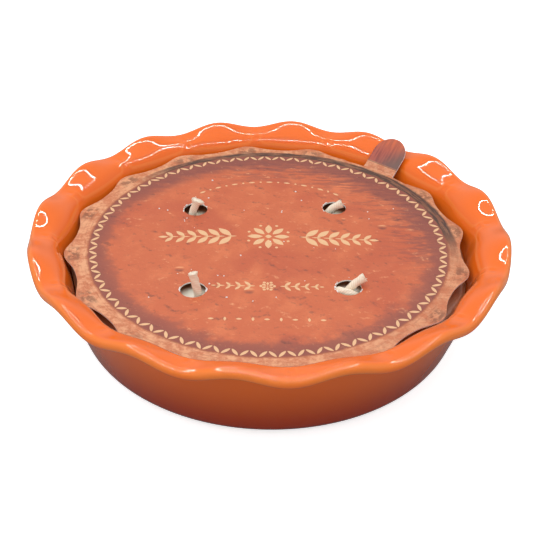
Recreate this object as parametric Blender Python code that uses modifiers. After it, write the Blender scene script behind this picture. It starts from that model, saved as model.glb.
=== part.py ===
"""A four-wick candle poured into a glazed pie dish with a fluted rim.

A die-cut printed card lies over the wax, with a hole for each wick and a tab
that folds up over the rim. Metres, +Z up. The origin is the middle of the base.
"""
from math import atan2, comb, cos, degrees, hypot, pi, radians, sin, sqrt, tan

import bmesh
import bpy

MM = 0.001
GAP = 0.5 * MM
MERGE = 0.00001

# Dish, turned part
FLOOR_Z = 6.0 * MM
WALL = 6.2 * MM
TAPER = radians(18.0)
FOOT_RADIUS = 93.7 * MM
BASE_ROUND = 12.7 * MM
FOOT_WIDTH = 9.5 * MM
FOOT_RECESS = 1.2 * MM
INNER_ROUND = 10.0 * MM
RIM_RADIUS = 130.0 * MM
LIP_ROUND = 3.0 * MM
LIP_Z = 56.5 * MM
DISH_STEPS = 160

# Dish, flare from the inside wall to the top of the lip
FLARE_Z = 44.0 * MM
FLARE_RISE = 9.0 * MM
FLARE_REACH = 13.5 * MM
FLARE_LEAN = radians(9.0)
FLARE_POINTS = 9

# Dish, underside of the lip
NECK = (122.8 * MM, 52.3 * MM)
NECK_INNER = (119.9 * MM, 50.0 * MM)
NECK_END_Z = 46.0 * MM

# Dish, fluted rim
WAVES = 16
FOLD_ANGLE = radians(4.8)
WAVE_RISE = 2.3 * MM
WAVE_RADII = (113.0 * MM, 126.0 * MM)
WAVE_HEIGHTS = (44.0 * MM, 52.0 * MM)
FLUTE_DEPTH = 1.2 * MM
FLUTE_RADII = (90.0 * MM, 105.0 * MM)
FLUTE_HEIGHTS = (34.0 * MM, 42.0 * MM)

# Wax
WAX_LEVEL = 42.9 * MM

# Card cover
CARD_PLACE = (-0.5 * MM, -0.3 * MM, 47.4 * MM)
CARD_TILT = radians(1.46)
CARD_THICK = 0.8 * MM
CARD_RADIUS = 108.0 * MM
SCALLOP = 2.5 * MM
SCALLOP_SHARPNESS = 0.4 * MM
SCALLOP_ANGLE = radians(7.75)
CARD_SHIFT = (-0.6 * MM, 1.0 * MM)
POINTS_PER_SCALLOP = 9
HOLE_RADIUS = 6.8 * MM
HOLE_SPACING = (80.5 * MM, 78.7 * MM)
HOLE_TURN = radians(2.9)
HOLE_SHIFT = (-0.2 * MM, -3.8 * MM)
HOLE_POINTS = 20

# Card tab
TAB_ANGLE = radians(50.6)
TAB_HALF_WIDTH = 10.7 * MM
TAB_ROOT = 105.6 * MM
TAB_LENGTH = 24.2 * MM
TAB_BEND_START = 105.2 * MM
TAB_BEND_RADIUS = 3.6 * MM
TAB_BEND = radians(39.0)
TAB_CLEAR = radians(12.5)
TAB_SLICE = 2.0 * MM
TAB_END_POINTS = 10

# Wicks: where each leaves the wax, its bend and its end
WICK_RADIUS = 2.0 * MM
WICK_POINTS = 7
WICK_LIFT = 0.6 * MM
WICKS = {
    "wick_back_left": ((-46.2, 30.5), (-45.0, 30.5, 48.5), (-41.5, 30.5, 56.6)),
    "wick_back_right": ((32.6, 36.4), (32.9, 36.2, 49.0), (41.6, 36.0, 52.8)),
    "wick_front_left": ((-35.4, -47.4), (-37.0, -47.6, 51.5), (-38.8, -46.9, 58.2)),
    "wick_front_right": ((40.2, -40.8), (41.0, -40.8, 47.3), (49.6, -39.3, 52.3)),
}


# Small helpers

def clear_scene():
    for item in list(bpy.data.objects):
        bpy.data.objects.remove(item, do_unlink=True)


def new_collection(name):
    collection = bpy.data.collections.new(name)
    bpy.context.scene.collection.children.link(collection)
    return collection


def material(name, colour, roughness, metallic=0.0):
    made = bpy.data.materials.new(name)
    made.use_nodes = True
    shader = made.node_tree.nodes["Principled BSDF"]
    shader.inputs["Base Color"].default_value = (*colour, 1.0)
    shader.inputs["Roughness"].default_value = roughness
    shader.inputs["Metallic"].default_value = metallic
    return made


def ease(value, low, high):
    """Rise smoothly from 0 at low to 1 at high."""
    share = min(max((value - low) / (high - low), 0.0), 1.0)
    return share * share * (3.0 - 2.0 * share)


def arc(centre, radius, start, end, count):
    """Points of a round stretch, from start to end in degrees."""
    angles = [radians(start + (end - start) * i / (count - 1)) for i in range(count)]
    return [(centre[0] + radius * cos(a), centre[1] + radius * sin(a)) for a in angles]


def bend(controls, count):
    """Points of the Bezier curve that three or four places set."""
    degree = len(controls) - 1
    points = []
    for i in range(count):
        t = i / (count - 1)
        weights = [comb(degree, k) * t ** k * (1 - t) ** (degree - k) for k in range(degree + 1)]
        columns = zip(*controls)
        points.append(tuple(sum(w * value for w, value in zip(weights, column)) for column in columns))
    return points


def turned(name, profile, steps, collection):
    """Turn a profile of (radius, height) points about Z with a Screw modifier."""
    mesh = bpy.data.meshes.new(name)
    edges = [(i, i + 1) for i in range(len(profile) - 1)]
    mesh.from_pydata([(r, 0.0, z) for r, z in profile], edges, [])
    item = bpy.data.objects.new(name, mesh)
    collection.objects.link(item)
    screw = item.modifiers.new("Screw", "SCREW")
    screw.steps = steps
    screw.render_steps = steps
    screw.use_merge_vertices = True
    screw.merge_threshold = MERGE
    screw.use_smooth_shade = True
    return item


def applied(item):
    """Replace an object's data by its evaluated mesh, with the modifiers gone."""
    graph = bpy.context.evaluated_depsgraph_get()
    mesh = bpy.data.meshes.new_from_object(item.evaluated_get(graph))
    item.modifiers.clear()
    item.data = mesh
    return mesh


# Dish

def outer_wall(z):
    return FOOT_RADIUS + BASE_ROUND / cos(TAPER) + (z - BASE_ROUND) * tan(TAPER)


def inner_wall(z):
    return outer_wall(z) - WALL / cos(TAPER)


def inner_corner():
    """Centre of the round between the inside floor and the inside wall."""
    z = FLOOR_Z + INNER_ROUND
    return inner_wall(z) - INNER_ROUND / cos(TAPER), z


def flare():
    """The trumpet-shaped inside of the rim, from the wall to the lip's top."""
    start = (inner_wall(FLARE_Z), FLARE_Z)
    top = (RIM_RADIUS - LIP_ROUND, LIP_Z + LIP_ROUND)
    up = (start[0] + FLARE_RISE * sin(TAPER), start[1] + FLARE_RISE * cos(TAPER))
    out = (top[0] - FLARE_REACH * cos(FLARE_LEAN), top[1] - FLARE_REACH * sin(FLARE_LEAN))
    return bend((start, up, out, top), FLARE_POINTS)


def dish_profile():
    """Section from the inside floor's middle, over the lip, to the foot."""
    taper = degrees(TAPER)
    inside = [(0.0, FLOOR_Z)]
    inside += arc(inner_corner(), INNER_ROUND, -90, -taper, 3)
    inside += [(inner_wall(WAX_LEVEL), WAX_LEVEL)]
    lip = arc((RIM_RADIUS - LIP_ROUND, LIP_Z), LIP_ROUND, 90, -90, 7)
    underside = [NECK, NECK_INNER, (outer_wall(NECK_END_Z), NECK_END_Z)]
    base = arc((FOOT_RADIUS, BASE_ROUND), BASE_ROUND, -taper, -90, 5)
    foot_inside = FOOT_RADIUS - FOOT_WIDTH
    foot = [(foot_inside, 0.0), (foot_inside - FOOT_RECESS, FOOT_RECESS), (0.0, FOOT_RECESS)]
    return inside + flare()[:-1] + lip + underside + base + foot


def flute(x, y, z):
    """Move a point of a turned piece to its place in the fluted dish."""
    radius = hypot(x, y)
    angle = atan2(y, x)
    wave = -cos(WAVES * (angle - FOLD_ANGLE))
    lift = ease(radius, *WAVE_RADII) * ease(z, *WAVE_HEIGHTS)
    within = ease(outer_wall(z) - radius, 0.0, WALL)
    inside = ease(z, *FLUTE_HEIGHTS) * ease(radius, *FLUTE_RADII) * within
    grown = radius - FLUTE_DEPTH * wave * inside
    return grown * cos(angle), grown * sin(angle), z + WAVE_RISE * wave * lift


def make_dish(collection):
    dish = turned("dish", dish_profile(), DISH_STEPS, collection)
    mesh = applied(dish)
    for vertex in mesh.vertices:
        vertex.co = flute(*vertex.co)
    mesh.shade_smooth()
    mesh.set_sharp_from_angle(angle=radians(50.0))
    mesh.materials.append(material("glaze", (0.83, 0.16, 0.035), 0.12))
    return dish


# Wax

def make_wax(collection):
    corner = arc(inner_corner(), INNER_ROUND - GAP, -degrees(TAPER), -90, 3)
    top_radius = inner_wall(WAX_LEVEL) - GAP / cos(TAPER)
    profile = [(0.0, WAX_LEVEL), (top_radius, WAX_LEVEL)] + corner + [(0.0, FLOOR_Z + GAP)]
    wax = turned("wax", profile, DISH_STEPS, collection)
    mesh = applied(wax)
    for vertex in mesh.vertices:
        vertex.co = flute(*vertex.co)
    mesh.shade_smooth()
    mesh.set_sharp_from_angle(angle=radians(40.0))
    mesh.materials.append(material("wax", (0.78, 0.70, 0.58), 0.45))
    return wax


# Card cover

def scallop_radius(angle):
    turn = WAVES * (angle - SCALLOP_ANGLE)
    return CARD_RADIUS + SCALLOP * cos(turn) + SCALLOP_SHARPNESS * cos(2.0 * turn)


def tab_outline():
    """The tab lying flat, from its clockwise side round to the other."""
    root = sqrt(TAB_ROOT ** 2 - TAB_HALF_WIDTH ** 2)
    end = TAB_ROOT + TAB_LENGTH - TAB_HALF_WIDTH
    flat = [(root, -TAB_HALF_WIDTH)]
    flat += arc((end, 0.0), TAB_HALF_WIDTH, -90, 90, TAB_END_POINTS)
    flat += [(root, TAB_HALF_WIDTH)]
    along = (cos(TAB_ANGLE), sin(TAB_ANGLE))
    return [(s * along[0] - t * along[1], s * along[1] + t * along[0]) for s, t in flat]


def card_outline():
    count = WAVES * POINTS_PER_SCALLOP
    points = []
    for i in range(count):
        angle = TAB_ANGLE + 2.0 * pi * (i + 0.5) / count
        off = min(angle - TAB_ANGLE, TAB_ANGLE + 2.0 * pi - angle)
        if off * TAB_ROOT < TAB_HALF_WIDTH + 1.0 * MM:
            continue
        if off < TAB_CLEAR:
            points.append((TAB_ROOT * cos(angle), TAB_ROOT * sin(angle)))
            continue
        radius = scallop_radius(angle)
        points.append((radius * cos(angle) + CARD_SHIFT[0], radius * sin(angle) + CARD_SHIFT[1]))
    return points + tab_outline()


def hole_centres():
    half_x, half_y = HOLE_SPACING[0] / 2.0, HOLE_SPACING[1] / 2.0
    places = []
    for x, y in ((-half_x, half_y), (half_x, half_y), (half_x, -half_y), (-half_x, -half_y)):
        turned_x = x * cos(HOLE_TURN) - y * sin(HOLE_TURN)
        turned_y = x * sin(HOLE_TURN) + y * cos(HOLE_TURN)
        places.append((turned_x + HOLE_SHIFT[0], turned_y + HOLE_SHIFT[1]))
    return places


def add_loop(curve, points):
    spline = curve.splines.new("POLY")
    spline.points.add(len(points) - 1)
    for point, (x, y) in zip(spline.points, points):
        point.co = (x, y, 0.0, 1.0)
    spline.use_cyclic_u = True


def fold_tab(x, y, z):
    """Bend what lies past the tab's root up to the tab's slope."""
    along = x * cos(TAB_ANGLE) + y * sin(TAB_ANGLE)
    across = y * cos(TAB_ANGLE) - x * sin(TAB_ANGLE)
    past = along - TAB_BEND_START
    if past <= 0.0:
        return x, y, z
    turn = min(past / TAB_BEND_RADIUS, TAB_BEND)
    straight = past - turn * TAB_BEND_RADIUS
    run = (TAB_BEND_RADIUS - z) * sin(turn) + straight * cos(turn)
    rise = TAB_BEND_RADIUS - (TAB_BEND_RADIUS - z) * cos(turn) + straight * sin(turn)
    along = TAB_BEND_START + run
    x = along * cos(TAB_ANGLE) - across * sin(TAB_ANGLE)
    y = along * sin(TAB_ANGLE) + across * cos(TAB_ANGLE)
    return x, y, rise


def make_card(collection):
    curve = bpy.data.curves.new("card", "CURVE")
    curve.dimensions = "2D"
    curve.fill_mode = "BOTH"
    curve.extrude = CARD_THICK / 2.0
    add_loop(curve, card_outline())
    for cx, cy in hole_centres():
        turns = [2.0 * pi * i / HOLE_POINTS for i in range(HOLE_POINTS)]
        add_loop(curve, [(cx + HOLE_RADIUS * cos(a), cy + HOLE_RADIUS * sin(a)) for a in turns])
    flat = bpy.data.objects.new("card_flat", curve)
    collection.objects.link(flat)
    graph = bpy.context.evaluated_depsgraph_get()
    mesh = bpy.data.meshes.new_from_object(flat.evaluated_get(graph))
    bpy.data.objects.remove(flat, do_unlink=True)

    work = bmesh.new()
    work.from_mesh(mesh)
    bmesh.ops.remove_doubles(work, verts=work.verts, dist=MERGE)
    along = (cos(TAB_ANGLE), sin(TAB_ANGLE), 0.0)
    slices = int(TAB_LENGTH / TAB_SLICE)
    for i in range(slices):
        reach = TAB_BEND_START + i * TAB_SLICE
        place = (reach * along[0], reach * along[1], 0.0)
        everything = work.verts[:] + work.edges[:] + work.faces[:]
        bmesh.ops.bisect_plane(work, geom=everything, plane_co=place, plane_no=along, dist=MERGE)
    for vertex in work.verts:
        vertex.co.z -= CARD_THICK / 2.0
        vertex.co = fold_tab(*vertex.co)
    bmesh.ops.recalc_face_normals(work, faces=work.faces)
    work.to_mesh(mesh)
    work.free()

    card = bpy.data.objects.new("card", mesh)
    collection.objects.link(card)
    card.location = CARD_PLACE
    card.rotation_euler.x = CARD_TILT
    mesh.materials.append(material("card", (0.62, 0.22, 0.11), 0.55))
    return card


# Wicks

def wick_route(start, middle, end):
    """A smooth bend from the wax, past the card, to the cut end."""
    first = (*start, (WAX_LEVEL + WICK_LIFT) / MM)
    return [[value * MM for value in place] for place in bend((first, middle, end), WICK_POINTS)]


def make_wick(name, places, look, collection):
    curve = bpy.data.curves.new(name, "CURVE")
    curve.dimensions = "3D"
    curve.bevel_depth = WICK_RADIUS
    curve.bevel_resolution = 2
    curve.use_fill_caps = True
    spline = curve.splines.new("POLY")
    route = wick_route(*places)
    spline.points.add(len(route) - 1)
    for point, place in zip(spline.points, route):
        point.co = (*place, 1.0)
    wick = bpy.data.objects.new(name, curve)
    collection.objects.link(wick)
    curve.materials.append(look)
    return wick


def main():
    clear_scene()
    parts = new_collection("pie_dish_candle")
    make_dish(parts)
    make_wax(parts)
    make_card(parts)
    cotton = material("cotton", (0.80, 0.70, 0.55), 0.8)
    for name, places in WICKS.items():
        make_wick(name, places, cotton, parts)


main()
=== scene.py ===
"""Looks of a four-wick candle in a glazed pie dish with a fluted rim.

The dish, wax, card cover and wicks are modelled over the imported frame, and a
stage with soft light and a camera stands round them. Lengths are in metres.
"""

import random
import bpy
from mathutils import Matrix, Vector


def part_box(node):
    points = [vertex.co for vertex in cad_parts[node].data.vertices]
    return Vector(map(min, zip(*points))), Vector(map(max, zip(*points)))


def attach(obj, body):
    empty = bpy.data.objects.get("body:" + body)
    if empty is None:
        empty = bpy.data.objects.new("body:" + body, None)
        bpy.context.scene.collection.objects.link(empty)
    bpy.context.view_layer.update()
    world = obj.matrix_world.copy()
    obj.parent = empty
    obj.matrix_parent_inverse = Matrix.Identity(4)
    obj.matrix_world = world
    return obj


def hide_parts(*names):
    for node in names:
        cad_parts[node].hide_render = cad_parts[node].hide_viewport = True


bl_info = {
    "name": "Pie Dish Candle",
    "version": (1, 0, 0),
    "blender": (4, 5, 0),
    "location": "3D View > Sidebar > Candle",
    "description": "Builds the fluted dish, wax, printed card and wicks of a candle",
    "category": "Add Mesh",
}

from math import atan2, comb, cos, degrees, pi, radians, sin, sqrt, tan

import bmesh
import bpy
from bpy.props import FloatProperty, FloatVectorProperty, IntProperty, PointerProperty
from mathutils import Euler, Matrix, Vector, noise

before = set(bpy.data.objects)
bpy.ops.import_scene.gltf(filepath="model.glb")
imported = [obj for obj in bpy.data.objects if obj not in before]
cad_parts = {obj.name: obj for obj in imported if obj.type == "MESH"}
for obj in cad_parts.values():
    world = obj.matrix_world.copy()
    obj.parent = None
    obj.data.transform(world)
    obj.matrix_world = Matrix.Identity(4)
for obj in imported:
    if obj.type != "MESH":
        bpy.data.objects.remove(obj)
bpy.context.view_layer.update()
DISH_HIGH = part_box("dish")[1]

MM = 0.001
MERGE = 0.00001
FLOOR_DROP = 0.0004
WHITE = (1.0, 1.0, 1.0, 1.0)
SENSOR_WIDTH = 36.0

# Dish: the same turned shape as the frame's
FLOOR_Z = 6.0 * MM
WALL = 6.2 * MM
TAPER = radians(18.0)
FOOT_RADIUS = 93.7 * MM
BASE_ROUND = 12.7 * MM
FOOT_WIDTH = 9.5 * MM
FOOT_RECESS = 1.2 * MM
INNER_ROUND = 10.0 * MM
RIM_RADIUS = DISH_HIGH[0]
LIP_ROUND = 3.0 * MM
LIP_Z = 56.5 * MM
FLARE_Z = 44.0 * MM
FLARE_RISE = 9.0 * MM
FLARE_REACH = 13.5 * MM
FLARE_LEAN = radians(9.0)
NECK = (122.8 * MM, 52.3 * MM)
NECK_END_Z = 46.0 * MM
WAVE_RADII = (113.0 * MM, 126.0 * MM)
WAVE_HEIGHTS = (44.0 * MM, 52.0 * MM)
FLUTE_HEIGHTS = (34.0 * MM, 42.0 * MM)
FLUTE_RADII = (90.0 * MM, 105.0 * MM)
PANEL_HEIGHTS = (44.0 * MM, 46.0 * MM)
PANEL_RADII = (121.0 * MM, 126.5 * MM)
PANEL_LOW = 49.5 * MM
DIMPLES = ((115.6 * MM, 1.7 * MM, 1.3, 0.5 * MM), (121.2 * MM, 2.8 * MM, 1.5, 0.6 * MM))
PANEL_EDGE = (-0.6 * MM, 0.8 * MM)
RIDGE = "panel_ridge"
RIDGE_BAND = (-0.35 * MM, 0.05 * MM, 0.5 * MM)
NECK_INNER_Z = 50.5 * MM
FOOT_BEVEL = (0.4 * MM, 0.2 * MM)
LIP_POINTS = 22
FLARE_POINTS = 46
NECK_POINTS = 16
WALL_POINTS = 8
FLOOR_ROUND_POINTS = 6
FOOT_ROUND_POINTS = 12
# Painted shade: heights and radii over which the glaze darkens towards the foot
FOOT_SHADE_HEIGHTS = (50.0 * MM, 0.0)
FOOT_SHADE_RADII = (90.0 * MM, 97.0 * MM)
# Where the lip turns paler: partly thinner glaze, partly a painted highlight
THIN_RADII = (126.5 * MM, 129.3 * MM)
THIN_HEIGHTS = (52.0 * MM, 57.0 * MM)

# Wax
WAX_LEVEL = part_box("wax")[1][2]
WAX_GAP = 0.5 * MM
WAX_CLIMB = 0.5 * MM
WAX_COLLAR = (2.2 * MM, 4.5 * MM)
WAX_RELIEF = 0.3 * MM
WAX_DIMPLES = 90.0
WAX_SINK = 4.5 * MM
WAX_SINK_START = 84.0 * MM
# Painted shade on the wax: it turns brown between these distances from a hole's middle
WAX_SHADE_REACH = (5.5 * MM, 10.5 * MM)
WAX_POINTS = 40

# Card: its plane, outline, holes and tab, as in the frame
CARD_PLACE = Vector((-0.5 * MM, -0.3 * MM, 47.4 * MM))
CARD_TILT = radians(1.46)
CARD_THICK = 0.8 * MM
CARD_RADIUS = 108.0 * MM
SCALLOPS = 16
SCALLOP = 2.5 * MM
SCALLOP_SHARPNESS = 0.4 * MM
SCALLOP_ANGLE = radians(7.75)
CARD_SHIFT = (-0.6 * MM, 1.0 * MM)
HOLE_RADIUS = 6.8 * MM
HOLE_SPACING = (80.5 * MM, 78.7 * MM)
HOLE_TURN = radians(2.9)
HOLE_SHIFT = (-0.2 * MM, -3.8 * MM)
TAB_ANGLE = radians(50.6)
TAB_HALF_WIDTH = 10.7 * MM
TAB_ROOT = 105.6 * MM
TAB_LENGTH = 24.2 * MM
TAB_BEND_START = 105.2 * MM
TAB_BEND_RADIUS = 3.6 * MM
TAB_BEND = radians(39.0)
TAB_CLEAR = radians(12.5)
TAB_TRIM = 0.5 * MM
SHARP_EDGE = radians(40.0)
TAB_SLICE = 0.8 * MM
TAB_SLICES = 30
SCALLOP_POINTS = 24
TAB_POINTS = 28
HOLE_POINTS = 64

# Scale, detail and roughness of each noise; the card's are per millimetre of its flat layout
NOISE = {
    "floor": (2.0, 3.0, 0.5),
    "glaze": (14.0, 2.0, 0.5),
    "ripple": (90.0, 1.0, 0.4),
    "paper": (1800.0, 3.0, 0.6),
    "ink": (700.0, 2.0, 0.5),
    "wax": (160.0, 3.0, 0.55),
    "cotton": (3.0, 3.0, 0.6),
    "patch": (0.055, 5.0, 0.62),
    "broad": (0.022, 2.0, 0.5),
    "cloud": (0.09, 5.0, 0.65),
    "streak": (0.3, 5.0, 0.62),
    "wrinkle": (0.055, 7.0, 0.62),
    "grain": (0.4, 3.0, 0.6),
    "dough": (0.2, 6.0, 0.68),
    "fine": (0.35, 6.0, 0.7),
    "flour": (0.1, 4.0, 0.6),
    "groove": (0.7, 4.0, 0.6),
    "toast": (0.22, 3.0, 0.6),
    "rag": (0.14, 4.0, 0.6),
    "shade": (0.5, 5.0, 0.65),
    "stripe": (0.42, 4.0, 0.6),
    "fibre": (0.9, 2.0, 0.5),
}
RELIEF_REACH = {"wrinkle": 1.7, "grain": 0.5, "dough": 0.7}
DENT_SCALE = 0.045
RING_STRETCH = 12.0
STREAK_STRETCH = 0.22
STRIPE_STRETCH = 0.12

# Zones of the print: radii in millimetres, sectors in degrees with their soft edge last
FIELD_EDGE = (76.0, 98.0)
FAR_RADII = (54.0, 86.0)
FAR_SECTOR = (0.0, 95.0, 30.0)
TOP_RADII = (76.0, 90.0)
TOP_SECTOR = (20.0, 135.0, 25.0)
RIGHT_REACH = (35.0, 70.0)
FRONT_REACH = (25.0, 55.0)
CRUST_START = 98.4
TOAST_RADII = (103.8, 108.4, 1.6)
SHADOW_SECTOR = (12.0, 122.0, 26.0)
SHADOW_WIDTH = 5.4
SHADOW_NARROWS = (radians(40.0), radians(105.0))
TAB_PRINT = 111.2
TAB_GLOW = (117.0, 128.5)
SEAM_START = (109.0, 110.5)
SEAM_HALF = (12.0, 11.0)

# Ornament in millimetres: sprigs (start, end, leaves, sizes), rosettes (middle, petals, sizes) and dots
SPRIGS = (((17.0, 6.0), (56.0, 4.0), 6, 5.4, 2.1), ((6.0, -41.0), (27.0, -41.0), 4, 2.6, 0.95))
ROSETTES = (((0.0, 6.0), 8, 3.2, 4.3, 1.9), ((0.0, -41.0), 6, 0.9, 1.3, 0.7))
STEM = 0.45
LEAF_SPREAD = radians(48.0)
DOT = 0.9
SMALL_DOT = 0.7
BOW_RADIUS = 66.0
BOW_STEP = 4.6
BOW_HALF = 8
ROW_Y = -69.0
ROW_STEP = 7.0
ROW_HALF = 4

# Wicks: where each leaves the wax, passes the card and ends, in millimetres
WICKS = {
    "wick_back_left": ((-46.2, 30.5), (-45.0, 30.5, 48.5), (-41.5, 30.5, 56.6)),
    "wick_back_right": ((32.6, 36.4), (32.9, 36.2, 49.0), (41.6, 36.0, 52.8)),
    "wick_front_left": ((-35.4, -47.4), (-37.0, -47.6, 51.5), (-38.8, -46.9, 58.2)),
    "wick_front_right": ((40.2, -40.8), (41.0, -40.8, 47.3), (49.6, -39.3, 52.3)),
}

# How far each head widens to its left and right, as a share of the wick's radius
WICK_HEADS = {
    "wick_back_left": (0.55, 0.95),
    "wick_back_right": (0.15, 0.3),
    "wick_front_left": (0.12, 0.22),
    "wick_front_right": (0.15, 0.25),
}
WICK_FOLD = ((46.2, -43.2, 42.6), (41.5, -46.5, 48.6), (33.5, -44.6, 47.4), (37.5, -38.2, 42.8))
WICK_DEPTH = 2.0
STRANDS = 1.5
STRAND_SWELL = 0.12
WICK_FLATTEN = 0.92
HEAD_START = (0.84, 0.97)
TEAR_START = (0.9, 1.0)
TEAR = 0.5 * MM
TEAR_SCALE = 1400.0
HAIR = 0.1 * MM
HAIR_POINTS = 9
HAIR_SEED = 5

# Torn stretches of each hole's edge: start and end in degrees, and how many lumps
HOLE_TEARS = (
    ((95, 200, 16), (20, 60, 3)),
    ((120, 215, 9),),
    ((140, 215, 13), (330, 350, 2)),
    ((165, 200, 8), (-14, 16, 9)),
)
LUMP_LENGTHS = (0.35, 0.9)
LUMP_WIDTHS = (0.2, 0.4)
DUST_SIZES = (0.2, 0.5)
DUST_SPREAD = 16.0
DUST_RADIUS = 92.0 * MM


# Node trees

class Term:
    """A node's output that Python's operators can work on."""

    def __init__(self, graph, socket):
        self.graph = graph
        self.socket = socket

    def math(self, operation, *others):
        return self.graph.math(operation, self, *others)

    def __neg__(self):
        return self.math("MULTIPLY", -1.0)

    def ease(self, low, high):
        """Rise smoothly from 0 at low to 1 at high."""
        settings = {"interpolation_type": "SMOOTHSTEP"}
        limits = {"Value": self, "From Min": low, "From Max": high}
        return self.graph.out("ShaderNodeMapRange", settings, limits)

    def band(self, low, high, soft):
        """1 between low and high, falling to 0 over soft on both sides."""
        return self.ease(low - soft, low) * (1.0 - self.ease(high, high + soft))


def give_operator(key, operation):
    """Let a term stand on either side of one of Python's operators."""
    setattr(Term, f"__{key}__", lambda term, other: term.graph.math(operation, term, other))
    setattr(Term, f"__r{key}__", lambda term, other: term.graph.math(operation, other, term))


for sign in ("add ADD", "sub SUBTRACT", "mul MULTIPLY", "truediv DIVIDE", "pow POWER"):
    give_operator(*sign.split())


class Graph:
    """Adds nodes to a shader or geometry tree."""

    def __init__(self, tree):
        self.tree = tree
        self.tree.nodes.clear()

    def node(self, kind, settings=None, inputs=None):
        made = self.tree.nodes.new(kind)
        for name, value in (settings or {}).items():
            setattr(made, name, value)
        for key, value in (inputs or {}).items():
            if isinstance(value, Term):
                self.tree.links.new(value.socket, made.inputs[key])
            else:
                made.inputs[key].default_value = value
        return made

    def out(self, kind, settings=None, inputs=None, output=0):
        return Term(self, self.node(kind, settings, inputs).outputs[output])

    def math(self, operation, *values):
        return self.out("ShaderNodeMath", {"operation": operation}, dict(enumerate(values)))

    def vector(self, operation, *values, output=0):
        settings = {"operation": operation}
        return self.out("ShaderNodeVectorMath", settings, dict(enumerate(values)), output)

    def split(self, vector):
        made = self.node("ShaderNodeSeparateXYZ", inputs={0: vector})
        return [Term(self, socket) for socket in made.outputs]

    def join(self, x, y, z):
        return self.out("ShaderNodeCombineXYZ", inputs={0: x, 1: y, 2: z})

    def mix(self, first, second, factor):
        """Blend two colours."""
        settings = {"data_type": "RGBA", "clamp_factor": True}
        return self.out("ShaderNodeMix", settings, {0: factor, 6: opaque(first), 7: opaque(second)}, 2)

    def noise(self, vector, kind):
        inputs = dict(zip(("Scale", "Detail", "Roughness"), NOISE[kind]))
        return self.out("ShaderNodeTexNoise", None, {"Vector": vector, **inputs})

    def relief(self, x, y, kind):
        """Slope of a noise towards +y: lit sides are above 0, shaded ones below."""
        reach = RELIEF_REACH[kind]
        near = self.noise(self.join(x, y, 0.0), kind)
        far = self.noise(self.join(x + reach * 0.4, y + reach, 0.0), kind)
        return near - far


def opaque(colour):
    """A colour as the four numbers that a socket takes, or a link as it is."""
    return colour if isinstance(colour, Term) else (*colour, 1.0)


def srgb(red, green, blue):
    """Screen colour in 0 to 255 as the linear colour that shaders use."""
    shares = [value / 255.0 for value in (red, green, blue)]
    return tuple(s / 12.92 if s <= 0.04045 else ((s + 0.055) / 1.055) ** 2.4 for s in shares)


class Surface(Graph):
    """A material whose tree ends in one Principled shader."""

    def __init__(self, name):
        self.material = bpy.data.materials.new(name)
        self.material.use_nodes = True
        super().__init__(self.material.node_tree)

    def object_place(self):
        return self.out("ShaderNodeTexCoord", output="Object")

    def uv_place(self):
        return self.out("ShaderNodeTexCoord", output="UV")

    def mottled(self, kind, pale, shade, *spread):
        """A noise, and a base colour that it shades from low to high by a share."""
        skin = self.noise(self.object_place(), kind)
        low, high, share = spread
        return skin, self.mix(pale, shade, skin.ease(low, high) * share)

    def bump(self, height, distance, strength=1.0):
        inputs = {"Strength": strength, "Distance": distance, "Height": height}
        return self.out("ShaderNodeBump", None, inputs)

    def finish(self, **sockets):
        names = {key.replace("_", " ").title().replace("Ior", "IOR"): v for key, v in sockets.items()}
        if "Base Color" in names:
            names["Base Color"] = opaque(names["Base Color"])
        shader = self.out("ShaderNodeBsdfPrincipled", None, names)
        self.node("ShaderNodeOutputMaterial", inputs={"Surface": shader})
        return self.material


class Paint:
    """A colour that further colours are laid on."""

    def __init__(self, look, colour):
        self.look = look
        self.colour = colour

    def lay(self, colour, share):
        self.colour = self.look.mix(self.colour, colour, share)


class Maker(Graph):
    """A Geometry Nodes tree with named inputs, ending in one mesh."""

    def __init__(self, name, **sizes):
        super().__init__(bpy.data.node_groups.new(name, "GeometryNodeTree"))
        kinds = {int: "NodeSocketInt", float: "NodeSocketFloat"}
        self.values = {}
        self.new_socket("Geometry", "INPUT", "NodeSocketGeometry")
        for key, value in sizes.items():
            kind = kinds.get(type(value), "NodeSocketMaterial")
            self.values[self.new_socket(key, "INPUT", kind).identifier] = value
        self.new_socket("Geometry", "OUTPUT", "NodeSocketGeometry")
        entry = self.tree.nodes.new("NodeGroupInput")
        self.given = {socket.name: Term(self, socket) for socket in entry.outputs if socket.name}

    def new_socket(self, name, way, kind):
        return self.tree.interface.new_socket(name, in_out=way, socket_type=kind)

    def stored(self, *names):
        kind = ("GeometryNodeInputNamedAttribute", {"data_type": "FLOAT"})
        return [self.out(*kind, {"Name": name}) for name in names]

    def strew(self, piece, points, turn, *scale):
        """Set a piece on each point, turned and stretched."""
        inputs = {"Points": points, "Instance": piece}
        inputs.update({"Rotation": self.join(0.0, 0.0, turn), "Scale": self.join(*scale)})
        return self.out("GeometryNodeInstanceOnPoints", inputs=inputs)

    def build(self, geometry, item, smooth=True):
        """Finish the tree, run it on the item and keep the plain mesh."""
        solid = self.out("GeometryNodeRealizeInstances", inputs={0: geometry})
        shaded = self.out("GeometryNodeSetShadeSmooth", inputs={0: solid, "Shade Smooth": smooth})
        painted = self.out("GeometryNodeSetMaterial", inputs={0: shaded, "Material": self.given["Finish"]})
        self.node("NodeGroupOutput", inputs={0: painted})
        modifier = item.modifiers.new(self.tree.name, "NODES")
        modifier.node_group = self.tree
        for identifier, value in self.values.items():
            modifier[identifier] = value
        return keep_result(item)


# Mesh helpers

def ease(value, low, high):
    share = min(max((value - low) / (high - low), 0.0), 1.0)
    return share * share * (3.0 - 2.0 * share)


def arc(centre, radius, start, end, count):
    """Points of a round stretch, from start to end in degrees."""
    angles = [radians(start + (end - start) * i / (count - 1)) for i in range(count)]
    return [(centre[0] + radius * cos(a), centre[1] + radius * sin(a)) for a in angles]


def new_object(name, mesh):
    item = bpy.data.objects.new(name, mesh)
    bpy.context.scene.collection.objects.link(item)
    return item


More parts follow.
